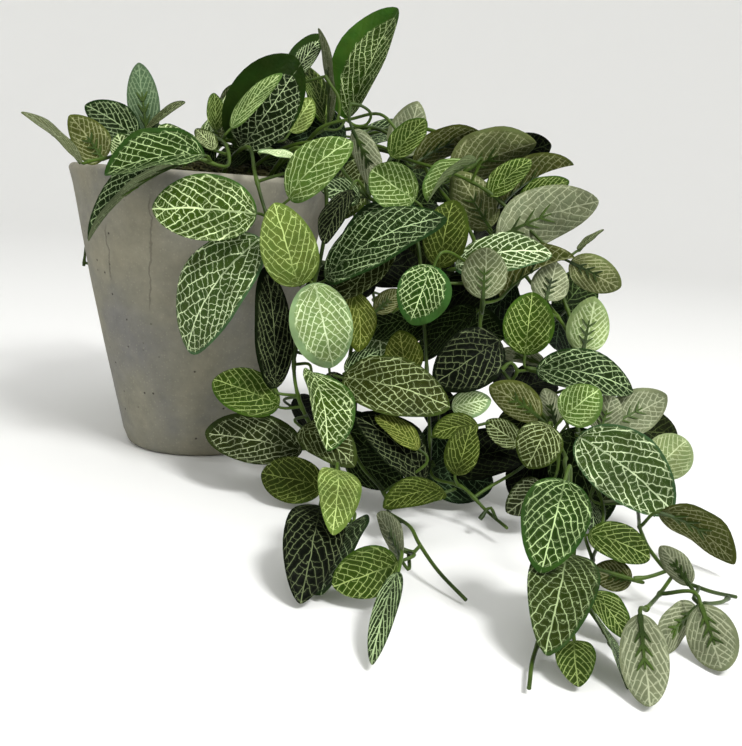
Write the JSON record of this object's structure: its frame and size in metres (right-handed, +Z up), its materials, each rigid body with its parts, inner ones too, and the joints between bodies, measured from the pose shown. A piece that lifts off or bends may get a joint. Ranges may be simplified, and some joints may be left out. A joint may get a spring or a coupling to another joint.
{
  "type": "potted trailing nerve plant (artificial)",
  "caption": "Artificial trailing nerve plant with net-veined leaves on eighteen leafy stems, spilling from a tapered grey cement pot and trailing along the surface it stands on.",
  "frame": {"origin": "centre of the pot's flat base, on the surface it stands on", "axes": "+Z up, -Y towards the side that was pictured, +X towards the side that the long stems hang from"},
  "size_m": [0.3563, 0.4195, 0.241],
  "materials": {
    "cement": "matte, mottled",
    "foam": "matte",
    "leaves": "printed with pale net veins"
  },
  "bodies": {
    "root": {"pot": "cement", "filling": "foam", "leafy_stem_left_rim": "leaves", "leafy_stem_rim_curl": "leaves", "leafy_stem_pot_front": "leaves", "leafy_stem_long_drop": "leaves", "leafy_stem_low_front": "leaves", "leafy_stem_middle_run": "leaves", "leafy_stem_centre_drop": "leaves", "leafy_stem_right_wave": "leaves", "leafy_stem_right_floor": "leaves", "leafy_stem_top_right": "leaves", "leafy_stem_top_centre": "leaves", "leafy_stem_top_left": "leaves", "leafy_stem_centre_bunch": "leaves", "leafy_stem_back_left": "leaves", "leafy_stem_back_middle": "leaves", "leafy_stem_back": "leaves", "leafy_stem_back_right": "leaves", "leafy_stem_back_side": "leaves"}
  },
  "joints": []
}
